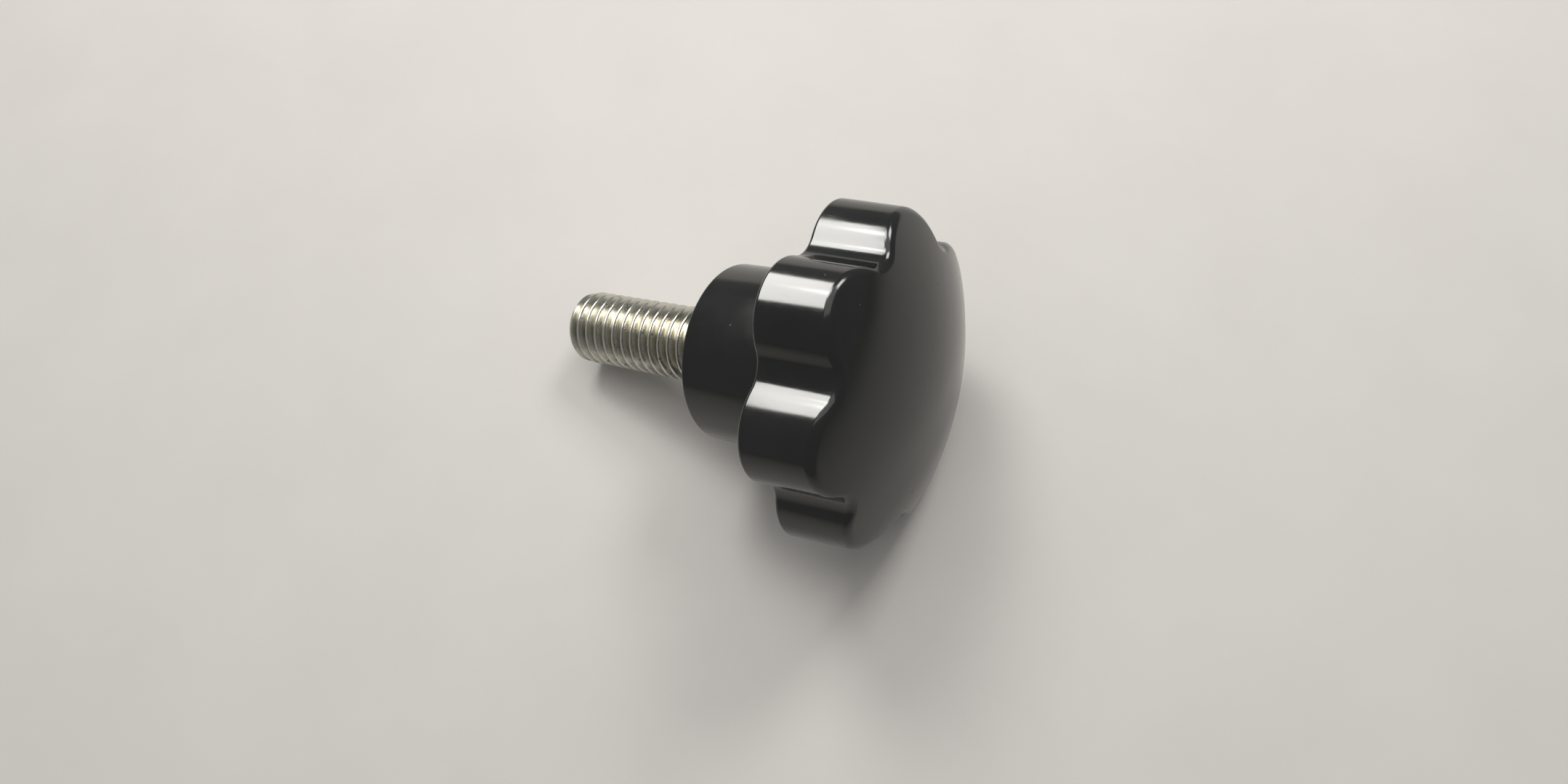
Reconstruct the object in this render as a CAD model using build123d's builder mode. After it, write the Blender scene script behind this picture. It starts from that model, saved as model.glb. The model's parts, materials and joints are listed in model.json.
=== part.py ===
from build123d import *
from math import acos, atan2, cos, degrees, hypot, pi, radians, sin, sqrt, tan
import os

# A seven-lobe thumb screw: a one-piece moulded knob with a steel stud set in its hub.
# Millimetres, +Z up. The screw lies as it comes to rest, on the tip of the stud and
# on two lobes, with the stud towards -X and the domed top towards +X.

# Stud: M8 x 1.25 steel, plated. The thread is drawn as a cylinder at its outer diameter.
stud_diameter = 7.9
stud_length = 20.0          # from the hub's end to the tip
point_length = 0.8          # lead-in at the tip
point_drop = 0.6            # how much the lead-in takes off the radius
shank_diameter = 7.1        # plain shank inside the plastic
anchor_depth = 9.0          # from the hub's end to the hidden hexagon head
anchor_across_flats = 13.0
anchor_height = 5.3

# Knob: hub, lobed grip and shallow dome, moulded in one.
hub_diameter = 18.1
hub_length = 11.4
grip_diameter = 32.7        # across the lobes, at the back face
wall_height = 7.0           # from the back face to the dome's edge
lobe_count = 7
lobe_radius = 5.26
valley_radius = 2.73
draft_angle = 3.0           # the wall narrows towards the dome
dome_height = 3.7
rim_radius = 1.0            # round between the wall and the dome
back_radius = 0.45          # round along the grip's back edge
hub_end_radius = 0.3        # round at the hub's free end
hub_root_radius = 0.5       # round where the hub meets the grip

# Each valley's arc is tangent to the arcs of the lobes beside it.
half_pitch = pi / lobe_count
lobe_offset = grip_diameter / 2 - lobe_radius
valley_offset = lobe_offset * cos(half_pitch) + sqrt(
    (lobe_radius + valley_radius) ** 2 - (lobe_offset * sin(half_pitch)) ** 2
)
lobe_sweep = atan2(
    valley_offset * sin(half_pitch), valley_offset * cos(half_pitch) - lobe_offset
)
valley_sweep = lobe_sweep - half_pitch

# The floor touches the stud just behind its lead-in, and the rounded back edge of the two
# lobes that stand half a pitch to each side of the lowest point.
stud_radius = stud_diameter / 2
draft = radians(draft_angle)
back_inset = back_radius * (1 + sin(draft)) / cos(draft)
foot_radius = lobe_offset * cos(half_pitch) + lobe_radius - back_inset
foot_drop = foot_radius - stud_radius
foot_run = stud_length + hub_length + back_radius - point_length
tilt = acos(-back_radius / hypot(foot_drop, foot_run)) - atan2(foot_run, foot_drop)

# The dome is a cap of a sphere over the grip's top edge.
dome_edge_radius = grip_diameter / 2 - wall_height * tan(draft)
dome_radius = (dome_edge_radius**2 + dome_height**2) / (2 * dome_height)
dome_top = stud_length + hub_length + wall_height + dome_height

# The stud's axis rises from its tip to the dome. The tip's upper edge and the dome's
# bulge are the two ends of the screw, and the origin lies under the middle of them.
tip_end = -(stud_radius - point_drop) * sin(tilt)
dome_end = (dome_top - dome_radius) * cos(tilt) + dome_radius
tip_x = -(tip_end + dome_end) / 2
tip_z = stud_radius * cos(tilt) - point_length * sin(tilt)
tip = Plane(
    origin=(tip_x, 0, tip_z), x_dir=(-sin(tilt), 0, cos(tilt)), z_dir=(cos(tilt), 0, sin(tilt))
)
screw_axis = Axis(tip.origin, tip.z_dir)
hub_end = tip.offset(stud_length)
anchor_face = hub_end.offset(anchor_depth)
grip_back = hub_end.offset(hub_length)
dome_centre = tip.offset(dome_top - dome_radius)

# Knob. The grip's outline is a ring of arcs, a lobe and a valley in turn.
with BuildPart() as knob:
    with BuildSketch(grip_back):
        with BuildLine():
            for lobe in range(lobe_count):
                turn = 2 * half_pitch * lobe
                CenterArc(
                    (lobe_offset * cos(turn), lobe_offset * sin(turn)),
                    lobe_radius,
                    degrees(turn - lobe_sweep),
                    degrees(2 * lobe_sweep),
                )
                turn += half_pitch
                CenterArc(
                    (valley_offset * cos(turn), valley_offset * sin(turn)),
                    valley_radius,
                    degrees(turn + pi + valley_sweep),
                    degrees(-2 * valley_sweep),
                )
        make_face()
    extrude(amount=wall_height + dome_height, taper=draft_angle)
    with Locations(dome_centre):
        Sphere(dome_radius, mode=Mode.INTERSECT)
    dome_face = faces().filter_by(GeomType.SPHERE)
    fillet(dome_face.edges().filter_by(GeomType.CIRCLE, reverse=True), rim_radius)
    back_face = faces().filter_by(GeomType.PLANE)
    fillet(back_face.edges(), back_radius)

    with BuildSketch(hub_end):
        Circle(hub_diameter / 2)
    extrude(amount=hub_length)
    hub_wall = faces().filter_by(GeomType.CYLINDER).sort_by(SortBy.AREA)[-1]
    fillet(hub_wall.edges().filter_by(GeomType.CIRCLE).sort_by(screw_axis)[-1], hub_root_radius)
    fillet(faces().sort_by(screw_axis)[0].edges(), hub_end_radius)

    # The plastic fills every space round the shank and the hidden head.
    with BuildSketch(hub_end):
        Circle(shank_diameter / 2)
    extrude(amount=anchor_depth, mode=Mode.SUBTRACT)
    with BuildSketch(hub_end):
        Circle(stud_radius)
    extrude(amount=stud_radius - shank_diameter / 2, taper=45, mode=Mode.SUBTRACT)
    with BuildSketch(anchor_face):
        RegularPolygon(anchor_across_flats / 2, 6, major_radius=False)
    extrude(amount=anchor_height, mode=Mode.SUBTRACT)

knob.part.label = "knob"

# Stud. The thread runs out at the hub, and inside the plastic a plain shank runs to a
# hexagon head, which keeps the stud from turning or pulling out.
with BuildPart() as threaded_stud:
    with BuildSketch(tip):
        Circle(stud_radius)
    extrude(amount=stud_length)
    thread_wall = faces().filter_by(GeomType.CYLINDER)[0]
    tip_edge = faces().sort_by(screw_axis)[0].edges()
    chamfer(tip_edge, point_length, point_drop, reference=thread_wall)
    with BuildSketch(hub_end):
        Circle(stud_radius)
    extrude(amount=stud_radius - shank_diameter / 2, taper=45)
    with BuildSketch(hub_end):
        Circle(shank_diameter / 2)
    extrude(amount=anchor_depth)
    with BuildSketch(anchor_face):
        RegularPolygon(anchor_across_flats / 2, 6, major_radius=False)
    extrude(amount=anchor_height)

threaded_stud.part.label = "threaded_stud"

os.makedirs("parts", exist_ok=True)
export_step(knob.part, "parts/knob.step")
export_step(threaded_stud.part, "parts/threaded_stud.step")
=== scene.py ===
import json
from math import atan2, ceil, cos, hypot, pi, radians, sin, sqrt, tan

import bmesh
import bpy
from mathutils import Matrix, Quaternion, Vector


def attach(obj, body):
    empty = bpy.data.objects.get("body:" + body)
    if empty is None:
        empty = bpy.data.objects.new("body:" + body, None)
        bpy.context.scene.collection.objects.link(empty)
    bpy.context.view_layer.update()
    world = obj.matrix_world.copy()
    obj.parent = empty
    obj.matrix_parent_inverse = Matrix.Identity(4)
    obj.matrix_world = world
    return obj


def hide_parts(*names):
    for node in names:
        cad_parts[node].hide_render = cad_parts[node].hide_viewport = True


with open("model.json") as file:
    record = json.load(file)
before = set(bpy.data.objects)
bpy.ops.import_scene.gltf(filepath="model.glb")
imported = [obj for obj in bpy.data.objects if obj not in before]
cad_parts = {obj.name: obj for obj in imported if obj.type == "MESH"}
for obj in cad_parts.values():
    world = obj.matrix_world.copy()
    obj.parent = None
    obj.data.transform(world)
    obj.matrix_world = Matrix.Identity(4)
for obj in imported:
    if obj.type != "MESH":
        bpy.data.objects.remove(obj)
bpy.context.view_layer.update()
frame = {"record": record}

# ---------------------------------------------------------------------------
# Threaded stud: M8 x 1.25 steel with a rolled thread, a turned lead-in at the tip and
# bright zinc plating. The knob is moulded round a plain shank and a hexagon head, whose
# form and size are guessed, since the plastic hides them.
mounts = {m["name"]: m for m in frame["record"]["mounts"]}
thread_mount = mounts["thread"]
thread_length = thread_mount["dims"]["length_mm"] / 1000
thread_radius = thread_mount["dims"]["r_mm"] / 1000
tip_length = 0.0008          # from the thread mount's end to the tip
stud_length = thread_length + tip_length
pitch = 0.00125
thread_depth = 0.000767
root_radius = thread_radius - thread_depth
lead_in = 0.0011
lead_drop = 0.0006
round_steps = 72             # facets round the thread and the shank
hidden_run = 0.0004          # how far the thread runs on inside the hub
neck_radius = root_radius - 0.0001
neck_bottom = -0.001
neck_top = 0.0002
head_overlap = 0.0003        # how far the shank runs into the head
shank_radius = 0.00355
shank_length = 0.009
head_flats = 0.013
head_height = 0.0053

# Each piece is modelled upright, with the hub's end at Z = 0 and the dome above it. Then
# it is laid on the line of the thread mount, which slopes down from the hub to the tip.
dome_way = -Vector(thread_mount["axis"])
hub_end = Vector(thread_mount["pos_m"]) + dome_way * thread_length / 2
side_way = Vector((0, -1, 0))
lobe_way = side_way.cross(dome_way)
lying = Matrix((lobe_way, side_way, dome_way)).transposed().to_4x4()
lying.translation = hub_end


def deselect():
    if bpy.context.object and bpy.context.object.mode == "EDIT":
        bpy.ops.object.mode_set(mode="OBJECT")
    bpy.ops.object.select_all(action="DESELECT")


def pick(piece):
    deselect()
    bpy.context.view_layer.objects.active = piece
    piece.select_set(True)


def select_in_edit(piece, mode, test):
    """In edit mode, select just the vertices, edges or faces that pass the test."""
    bpy.ops.mesh.select_mode(type=mode)
    bpy.ops.mesh.select_all(action="DESELECT")
    mesh = bmesh.from_edit_mesh(piece.data)
    items = {"VERT": mesh.verts, "EDGE": mesh.edges, "FACE": mesh.faces}[mode]
    for item in items:
        item.select_set(test(item))
    mesh.select_flush_mode()
    bmesh.update_edit_mesh(piece.data)


def add_modifier(piece, kind, **settings):
    """Add a modifier with these settings and apply it."""
    pick(piece)
    modifier = piece.modifiers.new(kind, kind)
    for name, value in settings.items():
        setattr(modifier, name, value)
    bpy.ops.object.modifier_apply(modifier=modifier.name)


def face_outward(piece):
    mesh = bmesh.new()
    mesh.from_mesh(piece.data)
    bmesh.ops.recalc_face_normals(mesh, faces=mesh.faces)
    if mesh.calc_volume(signed=True) < 0:
        bmesh.ops.reverse_faces(mesh, faces=mesh.faces)
    mesh.to_mesh(piece.data)
    mesh.free()


def lay_down(piece):
    pick(piece)
    piece.matrix_world = lying
    bpy.ops.object.transform_apply(location=True, rotation=True, scale=True)


# The thread's form over one pitch, as shares of the pitch and of the thread's depth:
# rounded root, flank, rounded crest, flank.
thread_form = [
    (0.00, 0.00), (0.06, 0.02), (0.12, 0.10), (0.20, 0.28), (0.30, 0.55), (0.375, 0.80),
    (0.42, 0.93), (0.46, 0.985), (0.50, 1.00), (0.54, 0.985), (0.58, 0.93), (0.625, 0.80),
    (0.70, 0.55), (0.80, 0.28), (0.88, 0.10), (0.94, 0.02), (1.00, 0.00),
]
spare_turns = 2.3            # the first turns are cut off at the tip
turns = ceil(stud_length / pitch) + 4

deselect()
bpy.ops.mesh.primitive_circle_add(vertices=len(thread_form), radius=1)
stud = bpy.context.object
stud.name = "threaded_stud_steel"
bpy.ops.object.mode_set(mode="EDIT")
outline = bmesh.from_edit_mesh(stud.data)
outline.verts.ensure_lookup_table()
for vertex, (height, rise) in zip(outline.verts, thread_form):
    vertex.co = (root_radius + thread_depth * rise, 0, height * pitch)
closing = [e for e in outline.edges if abs(e.verts[0].index - e.verts[1].index) > 1]
bmesh.ops.delete(outline, geom=closing, context="EDGES")
bmesh.update_edit_mesh(stud.data)
bpy.ops.mesh.select_all(action="SELECT")
bpy.ops.transform.translate(value=(0, 0, -stud_length - spare_turns * pitch))
bpy.ops.object.mode_set(mode="OBJECT")
add_modifier(
    stud, "SCREW", axis="Z", angle=2 * pi, screw_offset=pitch, iterations=turns,
    steps=round_steps, render_steps=round_steps, use_merge_vertices=True, merge_threshold=1e-6,
    use_normal_calculate=True,
)

# The turns are cut square at the tip, and just inside the hub.
pick(stud)
bpy.ops.object.mode_set(mode="EDIT")
bpy.ops.mesh.select_all(action="SELECT")
bpy.ops.mesh.remove_doubles(threshold=2e-6)
bpy.ops.mesh.bisect(
    plane_co=(0, 0, -stud_length), plane_no=(0, 0, 1), use_fill=True, clear_inner=True,
    threshold=1e-8,
)
bpy.ops.mesh.select_all(action="SELECT")
bpy.ops.mesh.bisect(
    plane_co=(0, 0, hidden_run), plane_no=(0, 0, 1), use_fill=True, clear_outer=True,
    threshold=1e-8,
)

# The lead-in is turned before plating: near the tip nothing stands outside its round.
turned = bmesh.from_edit_mesh(stud.data)
for vertex in turned.verts:
    run = (-stud_length + lead_in - vertex.co.z) / lead_in
    if run > 0:
        limit = thread_radius - lead_drop * (1 - sqrt(max(0, 1 - run * run)))
        reach = hypot(vertex.co.x, vertex.co.y)
        if reach > limit:
            vertex.co.x *= limit / reach
            vertex.co.y *= limit / reach
bmesh.update_edit_mesh(stud.data)
bpy.ops.object.mode_set(mode="OBJECT")
face_outward(stud)

# The stud's hidden end: a neck inside the thread, the plain shank and the hexagon head.
deselect()
bpy.ops.mesh.primitive_cylinder_add(
    vertices=round_steps, radius=neck_radius, depth=neck_top - neck_bottom,
    location=(0, 0, (neck_top + neck_bottom) / 2),
)
core = bpy.context.object
bpy.ops.object.transform_apply(location=True)
bpy.ops.object.mode_set(mode="EDIT")
select_in_edit(core, "FACE", lambda f: f.normal.z > 0.9)
bpy.ops.mesh.extrude_region_move()
grow = shank_radius / neck_radius
bpy.ops.transform.resize(value=(grow, grow, 1), center_override=(0, 0, 0))
climb = shank_length + head_overlap - neck_top
bpy.ops.mesh.extrude_region_move(TRANSFORM_OT_translate={"value": (0, 0, climb)})
deselect()
bpy.ops.mesh.primitive_cylinder_add(
    vertices=6, radius=head_flats / sqrt(3), depth=head_height,
    location=(0, 0, shank_length + head_height / 2),
)
hexagon = bpy.context.object
bpy.ops.object.transform_apply(location=True)
for part in (core, hexagon):
    add_modifier(stud, "BOOLEAN", operation="UNION", object=part, solver="EXACT")
    bpy.data.objects.remove(part)
pick(stud)
bpy.ops.object.shade_smooth_by_angle(angle=radians(40))
lay_down(stud)


class Nodes:
    """The nodes of a material, a group or the room, each added with settings and links."""

    def __init__(self, tree):
        self.tree = tree

    def add(self, kind, links=None, values=None, **settings):
        node = self.tree.nodes.new(kind)
        for name, value in settings.items():
            setattr(node, name, value)
        for socket, value in (values or {}).items():
            node.inputs[socket].default_value = value
        for socket, source in (links or {}).items():
            self.tree.links.new(source, node.inputs[socket])
        return node

    def math(self, operation, first, second, clamp=False):
        node = self.add("ShaderNodeMath", operation=operation, use_clamp=clamp)
        for socket, item in enumerate((first, second)):
            if isinstance(item, (int, float)):
                node.inputs[socket].default_value = item
            else:
                self.tree.links.new(item, node.inputs[socket])
        return node.outputs[0]

    def noise(self, vector, scale, detail=2.0, roughness=0.5):
        values = {"Scale": scale, "Detail": detail, "Roughness": roughness}
        return self.add("ShaderNodeTexNoise", {"Vector": vector}, values).outputs["Fac"]

    def spread(self, value, low, high, new_low=0.0, new_high=1.0, smooth=False):
        values = {"From Min": low, "From Max": high, "To Min": new_low, "To Max": new_high}
        kind = "SMOOTHSTEP" if smooth else "LINEAR"
        return self.add(
            "ShaderNodeMapRange", {"Value": value}, values, interpolation_type=kind
        ).outputs["Result"]

    def ramp(self, value, stops):
        node = self.add("ShaderNodeValToRGB", {"Fac": value})
        elements = node.color_ramp.elements
        while len(elements) < len(stops):
            elements.new(0.5)
        for element, (place, colour) in zip(elements, stops):
            element.position = place
            element.color = (*colour, 1)
        return node.outputs["Color"]

    def tint(self, amount, below, colour):
        """Lay a plain colour over what is below it, by an amount that varies."""
        node = self.add("ShaderNodeMix", data_type="RGBA")
        factor, first, second = node.inputs["Factor"], node.inputs[6], node.inputs[7]
        self.tree.links.new(amount, factor)
        self.tree.links.new(below, first)
        second.default_value = (*colour, 1)
        return node.outputs[2]

    def bump(self, height, distance, strength=1.0, normal=None):
        links = {"Height": height}
        if normal is not None:
            links["Normal"] = normal
        return self.add(
            "ShaderNodeBump", links, {"Distance": distance, "Strength": strength}
        ).outputs["Normal"]


def new_finish(name, **constants):
    """A material with one shader, whose fixed values are set on the shader itself."""
    material = bpy.data.materials.new(name)
    material.use_nodes = True
    nodes = Nodes(material.node_tree)
    shader = material.node_tree.nodes["Principled BSDF"]
    for socket, value in constants.items():
        shader.inputs[socket.replace("_", " ")].default_value = value
    return material, nodes, shader


# Fine specks: dust, nicks and pits, as a mask of small round spots of many sizes.
specks = bpy.data.node_groups.new("specks", "ShaderNodeTree")
specks.interface.new_socket("Vector", in_out="INPUT", socket_type="NodeSocketVector")
specks.interface.new_socket("Scale", in_out="INPUT", socket_type="NodeSocketFloat")
specks.interface.new_socket("Size", in_out="INPUT", socket_type="NodeSocketFloat")
specks.interface.new_socket("Mask", in_out="OUTPUT", socket_type="NodeSocketFloat")
inner = Nodes(specks)
given = inner.add("NodeGroupInput")
cells = inner.add(
    "ShaderNodeTexVoronoi",
    {"Vector": given.outputs["Vector"], "Scale": given.outputs["Scale"]},
)
chance = inner.add("ShaderNodeSeparateColor", {"Color": cells.outputs["Color"]}).outputs["Red"]
spot_radius = inner.math("MULTIPLY", inner.math("POWER", chance, 6.0), given.outputs["Size"])
inside_spot = inner.math("SUBTRACT", spot_radius, cells.outputs["Distance"])
mask = inner.spread(inside_spot, 0.0, 0.04, smooth=True)
inner.add("NodeGroupOutput", {"Mask": mask})


def add_specks(nodes, vector, scale, size):
    """Scale is in spots to the metre, and size is a share of their spacing."""
    node = nodes.add("ShaderNodeGroup", node_tree=specks)
    nodes.tree.links.new(vector, node.inputs["Vector"])
    node.inputs["Scale"].default_value = scale
    node.inputs["Size"].default_value = size
    return node.outputs["Mask"]


def on_the_stud(nodes):
    """Object coordinates turned to the stud's own axis, in metres from the hub's end."""
    place = nodes.add("ShaderNodeTexCoord").outputs["Object"]
    return nodes.add(
        "ShaderNodeMapping", {"Vector": place},
        {"Location": hub_end, "Rotation": lying.to_euler()}, vector_type="TEXTURE",
    ).outputs["Vector"]


# Bright zinc plating: pale burnished crests, and colour painted darker and warmer down in the
# roots as painted shade, with some grime, and fine lines round the stud left by the rolling.
plating, nodes, shader = new_finish("bright_zinc_plating", Metallic=1.0)
upright = on_the_stud(nodes)
split = nodes.add("ShaderNodeSeparateXYZ", {"Vector": upright})
across = nodes.add("ShaderNodeCombineXYZ", {"X": split.outputs["X"], "Y": split.outputs["Y"]})
reach = nodes.add(
    "ShaderNodeVectorMath", {0: across.outputs[0]}, operation="LENGTH"
).outputs["Value"]
rise = nodes.spread(reach, root_radius, thread_radius)
way = nodes.math("ARCTAN2", split.outputs["Y"], split.outputs["X"])
rolled = nodes.add(
    "ShaderNodeCombineXYZ",
    {"X": nodes.math("MULTIPLY", way, 0.0004), "Y": reach, "Z": split.outputs["Z"]},
).outputs[0]
cloud = nodes.noise(upright, 420, 4, 0.6)
grain = nodes.noise(upright, 5200, 3, 0.65)
lines = nodes.noise(rolled, 11000, 3, 0.7)
pits = add_specks(nodes, upright, 2600, 0.5)
# Painted shade: the colour runs by depth from dark in the thread's roots, through the flanks,
# to pale crests, with some grime and cloudy tone mixed in.
root_shade_and_stain = nodes.spread(nodes.math("ADD", rise, nodes.math("MULTIPLY", cloud, 0.4)), 0.14, 0.95)
painted_root_shade_and_grime = (0.07, 0.058, 0.040)
painted_flank_shade = (0.26, 0.235, 0.175)
plain_zinc = (0.56, 0.54, 0.47)
bright_crest = (0.66, 0.65, 0.60)
colour = nodes.ramp(
    root_shade_and_stain, [(0, painted_root_shade_and_grime), (0.3, painted_flank_shade), (0.75, plain_zinc), (1, bright_crest)]
)
colour = nodes.tint(nodes.spread(cloud, 0.4, 0.7, 0, 0.25), colour, (0.62, 0.60, 0.48))
colour = nodes.tint(nodes.math("MULTIPLY", pits, 0.6), colour, (0.16, 0.145, 0.12))
rough = nodes.math("ADD", nodes.math("MULTIPLY", grain, 0.5), lines)
roughness = nodes.spread(rough, 0.4, 1.1, 0.14, 0.30)
roughness = nodes.math("ADD", roughness, nodes.spread(root_shade_and_stain, 0.0, 0.8, 0.16, 0.0))
normal = nodes.bump(lines, 0.000004, 0.6)
normal = nodes.bump(grain, 0.000003, 0.5, normal)
normal = nodes.bump(pits, -0.000012, 0.7, normal)
nodes.tree.links.new(colour, shader.inputs["Base Color"])
nodes.tree.links.new(roughness, shader.inputs["Roughness"])
nodes.tree.links.new(normal, shader.inputs["Normal"])
stud.data.materials.append(plating)

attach(stud, "root")
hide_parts("threaded_stud")

# ---------------------------------------------------------------------------
# Knob: one glossy black phenolic moulding, with a round hub, seven rounded lobes that
# narrow slightly towards the front for the mould to open, and a shallow domed top. It
# was moulded round the stud, so it has a cavity the shape of the shank and head.
hub_radius = 0.00905
hub_length = 0.0114
grip_radius = 0.01635        # to the top of a lobe, at the back
wall_height = 0.007
dome_height = 0.0037
lobe_count = 7
lobe_radius = 0.00526
valley_radius = 0.00273
wall_draft = radians(3)
rim_cut = 0.00062            # each round's cut-back: between the wall and the dome
back_cut = 0.00042           # along the grip's back edge
root_cut = 0.0005            # where the hub meets the grip
end_cut = 0.0003             # round the hub's free end
bore_cut = 0.0001            # round the stud
lobe_steps = 20
valley_steps = 14
dome_rings = 18

lobe_offset = grip_radius - lobe_radius
half_pitch = pi / lobe_count
valley_offset = lobe_offset * cos(half_pitch) + sqrt(
    (lobe_radius + valley_radius) ** 2 - (lobe_offset * sin(half_pitch)) ** 2
)
valley_x = valley_offset * cos(half_pitch)
valley_y = valley_offset * sin(half_pitch)
lobe_sweep = Vector((valley_x - lobe_offset, valley_y)).angle(Vector((1, 0)))
valley_sweep = lobe_sweep - half_pitch


edge_radius = grip_radius - wall_height * tan(wall_draft)
dome_radius = (edge_radius**2 + dome_height**2) / (2 * dome_height)
dome_centre = hub_length + wall_height + dome_height - dome_radius


def for_selected(piece, change):
    """Move each selected vertex as change says."""
    mesh = bmesh.from_edit_mesh(piece.data)
    for vertex in mesh.verts:
        if vertex.select:
            change(vertex.co)
    bmesh.update_edit_mesh(piece.data)


def raise_to_dome(co):
    co.z = dome_centre + sqrt(dome_radius**2 - co.x**2 - co.y**2)


def round_to(radius):
    def change(co):
        reach = hypot(co.x, co.y)
        co.x *= radius / reach
        co.y *= radius / reach

    return change


def fit_to_head(co):
    """Move a point out to the side of the hexagon head that it faces."""
    side = atan2(co.y, co.x) % (pi / 3) - pi / 6
    round_to(head_flats / 2 / cos(side))(co)


def extrude_ring(scale=1.0, rise=0.0):
    """Extrude the selected ring, then shrink it about the axis and lift it."""
    bpy.ops.mesh.extrude_region_move(TRANSFORM_OT_translate={"value": (0, 0, rise)})
    bpy.ops.transform.resize(value=(scale, scale, 1), center_override=(0, 0, 0))


# Half a lobe and half a valley are spun from one point, mirrored and turned seven times.
deselect()
bpy.ops.mesh.primitive_plane_add(size=0.001)
knob = bpy.context.object
knob.name = "knob_moulding"
bpy.ops.object.mode_set(mode="EDIT")
bpy.ops.mesh.select_mode(type="VERT")
bpy.ops.mesh.merge(type="CENTER")
bpy.ops.mesh.select_all(action="SELECT")
bpy.ops.transform.translate(value=(grip_radius, 0, 0))
bpy.ops.mesh.spin(
    steps=lobe_steps, angle=-lobe_sweep, center=(lobe_offset, 0, 0), axis=(0, 0, 1)
)
bpy.ops.mesh.spin(
    steps=valley_steps, angle=valley_sweep, center=(valley_x, valley_y, 0), axis=(0, 0, 1)
)
bpy.ops.mesh.select_all(action="SELECT")
bpy.ops.mesh.duplicate()
bpy.ops.transform.resize(value=(1, -1, 1), center_override=(0, 0, 0))
bpy.ops.mesh.select_all(action="SELECT")
for turn in range(lobe_count - 1):
    bpy.ops.mesh.duplicate()
    bpy.ops.transform.rotate(value=2 * half_pitch, orient_axis="Z", center_override=(0, 0, 0))
bpy.ops.mesh.select_all(action="SELECT")
bpy.ops.mesh.remove_doubles(threshold=1e-6)
bpy.ops.transform.translate(value=(0, 0, hub_length))

# The wall, then the dome in rings that close at its crown.
extrude_ring(scale=edge_radius / grip_radius)
for_selected(knob, raise_to_dome)
for ring in range(1, dome_rings + 1):
    before = 1 - (ring - 1) / (dome_rings + 1)
    after = 1 - ring / (dome_rings + 1)
    extrude_ring(scale=after / before)
    for_selected(knob, raise_to_dome)
bpy.ops.mesh.merge(type="CENTER")
for_selected(knob, raise_to_dome)

# The flat back, the hub and its flat end.
select_in_edit(knob, "EDGE", lambda e: e.is_boundary)
extrude_ring()
for_selected(knob, round_to(hub_radius))
extrude_ring(rise=-hub_length)
for_selected(knob, round_to(hub_radius))

# The cavity round the stud: the thread's last part, the shank and the hexagon head.
extrude_ring()
for_selected(knob, round_to(thread_radius))
extrude_ring(rise=hidden_run)
for_selected(knob, round_to(shank_radius))
extrude_ring(rise=shank_length - hidden_run)
extrude_ring()
for_selected(knob, fit_to_head)
extrude_ring(rise=head_height)
bpy.ops.mesh.edge_face_add()


def round_of(edge):
    """How far the moulded round cuts back an edge: every corner of the knob has a round,
    and the gentle edges within a curved face have none."""
    if edge.calc_face_angle() < radians(45):
        return 0
    middle = (edge.verts[0].co + edge.verts[1].co) / 2
    reach = hypot(middle.x, middle.y)
    if reach > 1.2 * hub_radius:
        return rim_cut if middle.z > hub_length + 0.001 else back_cut
    if reach > 0.95 * hub_radius:
        return root_cut if middle.z > hub_length / 2 else end_cut
    return bore_cut if abs(middle.z) < 1e-6 else 0


bpy.ops.object.mode_set(mode="OBJECT")
face_outward(knob)
bpy.ops.object.mode_set(mode="EDIT")
mesh = bmesh.from_edit_mesh(knob.data)
weight = mesh.edges.layers.float.new("bevel_weight_edge")
for edge in mesh.edges:
    edge[weight] = round_of(edge) / rim_cut
bmesh.update_edit_mesh(knob.data)
bpy.ops.object.mode_set(mode="OBJECT")
add_modifier(
    knob, "BEVEL", width=rim_cut, segments=5, limit_method="WEIGHT", use_clamp_overlap=False,
)
pick(knob)
bpy.ops.object.shade_smooth()
add_modifier(knob, "WEIGHTED_NORMAL", weight=60, keep_sharp=False)
lay_down(knob)

# Glossy black phenolic: a deep neutral black with faint cloudy filler marks, the slight
# waviness of a moulded surface, fine handling scratches and a few dust specks.
plastic, nodes, shader = new_finish("glossy_black_phenolic", IOR=1.58)
place = nodes.add("ShaderNodeTexCoord").outputs["Object"]
upright = on_the_stud(nodes)
cloud = nodes.noise(place, 260, 4, 0.6)
filler = nodes.noise(place, 3800, 3, 0.6)
waves = nodes.noise(place, 520, 1.5, 0.4)
dust = add_specks(nodes, place, 900, 0.16)
smudge = nodes.spread(nodes.noise(place, 150, 3, 0.55), 0.48, 0.72, smooth=True)
scratches = None
for turn, stretch in ((0.4, 30), (-0.7, 26), (1.3, 34)):
    slanted = nodes.add(
        "ShaderNodeMapping", {"Vector": upright},
        {"Rotation": (0.3 * turn, 0.5 * turn, turn), "Scale": (1, stretch, 1)},
    ).outputs["Vector"]
    hair = nodes.spread(nodes.noise(slanted, 420, 2, 0.5), 0.70, 0.76, smooth=True)
    scratches = hair if scratches is None else nodes.math("MAXIMUM", scratches, hair)
colour = nodes.ramp(cloud, [(0.3, (0.0078, 0.0092, 0.0080)), (0.7, (0.0115, 0.0130, 0.0115))])
colour = nodes.tint(nodes.spread(filler, 0.62, 0.8, 0, 0.3), colour, (0.022, 0.023, 0.023))
colour = nodes.tint(nodes.math("MULTIPLY", dust, 0.25), colour, (0.09, 0.087, 0.08))
roughness = nodes.spread(cloud, 0.3, 0.7, 0.12, 0.16)
roughness = nodes.math("ADD", roughness, nodes.math("MULTIPLY", smudge, 0.05))
roughness = nodes.math("ADD", roughness, nodes.math("MULTIPLY", scratches, 0.10))
roughness = nodes.math("ADD", roughness, nodes.math("MULTIPLY", dust, 0.25), clamp=True)
normal = nodes.bump(waves, 0.000012, 0.5)
normal = nodes.bump(filler, 0.000001, 0.3, normal)
normal = nodes.bump(scratches, -0.000001, 0.5, normal)
nodes.tree.links.new(colour, shader.inputs["Base Color"])
nodes.tree.links.new(roughness, shader.inputs["Roughness"])
nodes.tree.links.new(normal, shader.inputs["Normal"])
knob.data.materials.append(plastic)

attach(knob, "root")
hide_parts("knob")

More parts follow.
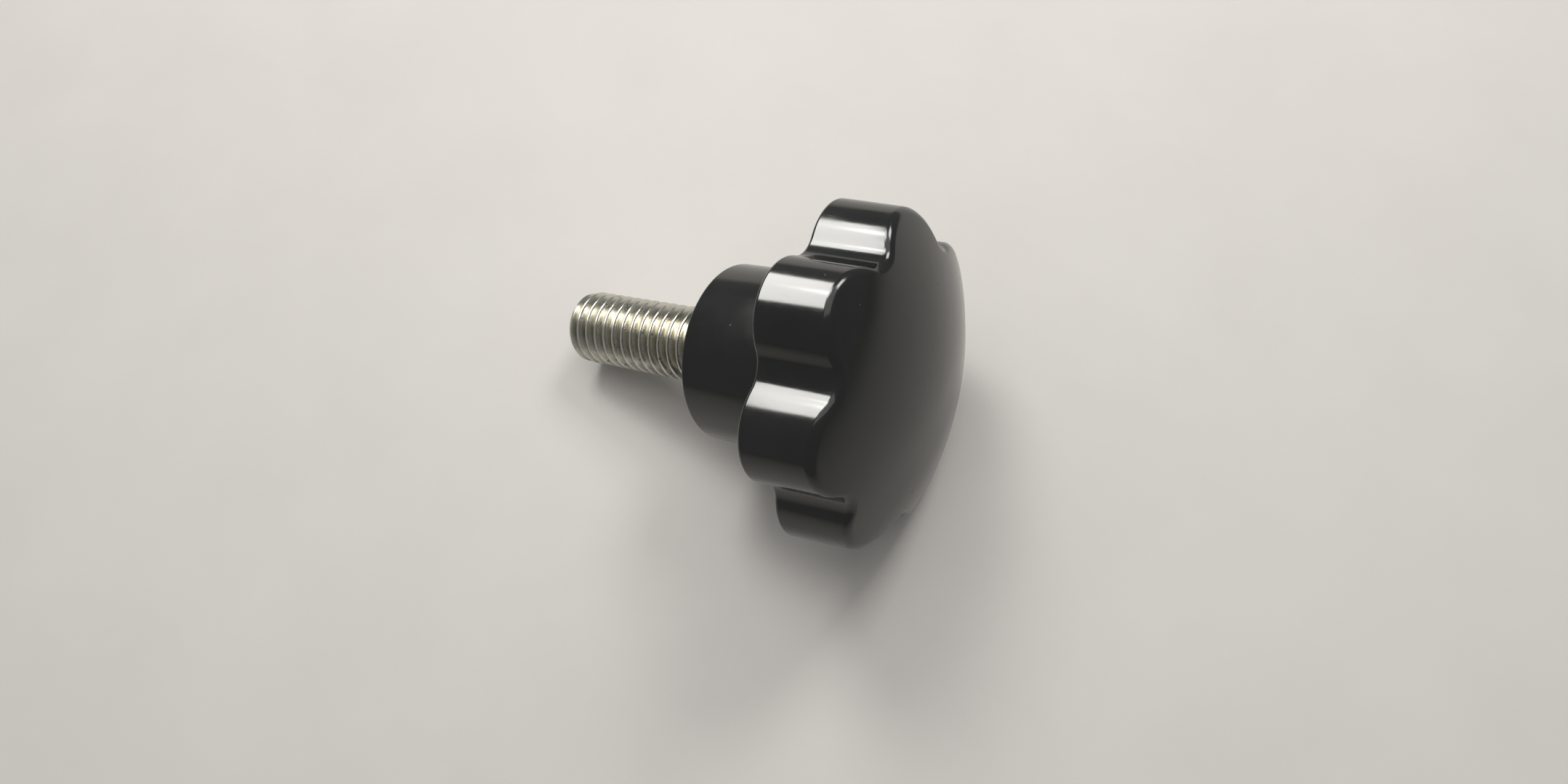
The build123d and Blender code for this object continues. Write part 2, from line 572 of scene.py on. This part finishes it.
# ---------------------------------------------------------------------------
# Stage: a matt pale board under the screw, in a dim plain room. A small bright panel close
# by at the upper left shows in the gloss, and three broad lamps above light the rest.
deselect()
bpy.ops.mesh.primitive_plane_add(size=8, location=(0, 0, 0))
floor = bpy.context.object
floor.name = "floor"
floor_paint, nodes, shader = new_finish("matt_pale_board")
place = nodes.add("ShaderNodeTexCoord").outputs["Object"]
mottle = nodes.noise(place, 60, 4, 0.6)
fibre = nodes.noise(place, 2500, 3, 0.6)
colour = nodes.ramp(mottle, [(0.3, (0.725, 0.695, 0.66)), (0.7, (0.755, 0.725, 0.69))])
nodes.tree.links.new(colour, shader.inputs["Base Color"])
nodes.tree.links.new(nodes.spread(fibre, 0.3, 0.7, 0.6, 0.75), shader.inputs["Roughness"])
nodes.tree.links.new(nodes.bump(fibre, 0.00001, 0.15), shader.inputs["Normal"])
floor.data.materials.append(floor_paint)

scene = bpy.context.scene
scene.view_settings.view_transform = "Standard"
world = bpy.data.worlds.new("room")
scene.world = world
world.use_nodes = True
nodes = Nodes(world.node_tree)
seen = nodes.add("ShaderNodeLightPath").outputs["Is Camera Ray"]
background = world.node_tree.nodes["Background"]
background.inputs["Color"].default_value = (0.97, 0.98, 0.98, 1)
world.node_tree.links.new(nodes.spread(seen, 0, 1, 0.26, 0.6), background.inputs["Strength"])


screw_middle = (0, 0, 0.02)
warm_white = (1, 0.985, 0.96)


def soft_light(name, place, width, height, power, target=screw_middle, colour=warm_white):
    bpy.ops.object.light_add(type="AREA", location=place)
    lamp = bpy.context.object
    lamp.name = name
    lamp.data.shape = "RECTANGLE"
    lamp.data.size = width
    lamp.data.size_y = height
    lamp.data.energy = power
    lamp.data.color = colour
    lamp.rotation_euler = (Vector(target) - Vector(place)).to_track_quat("-Z", "Y").to_euler()
    return lamp


soft_light("overhead", (-0.05, 0.14, 0.42), 0.4, 0.4, 0.55)
soft_light("left_lamp", (-0.16, 0.17, 0.27), 0.11, 0.11, 0.42)
soft_light("right_lamp", (0.050, 0.23, 0.24), 0.09, 0.09, 0.30)

# The panel's long way leans by panel_lean, and only glossy surfaces see it.
panel_lean = Quaternion((0, 0, 1), radians(37))
panel = soft_light(
    "panel", (-0.0265, 0.019, 0.0565), 0.044, 0.019, 0.036,
    target=(0.005, 0, 0.02), colour=(1, 0.99, 0.95),
)
panel.rotation_euler = (panel.rotation_euler.to_quaternion() @ panel_lean).to_euler()
panel.visible_diffuse = False

camera_data = bpy.data.cameras.new("camera")
camera = bpy.data.objects.new("camera", camera_data)
scene.collection.objects.link(camera)
camera_data.sensor_width = 36
camera_data.lens = 21.83
camera.location = (0.02405, -0.02856, 0.10022)
camera.rotation_euler = (radians(19.04), radians(5.70), radians(20.45))
scene.camera = camera
camera_data.clip_start = 0.001
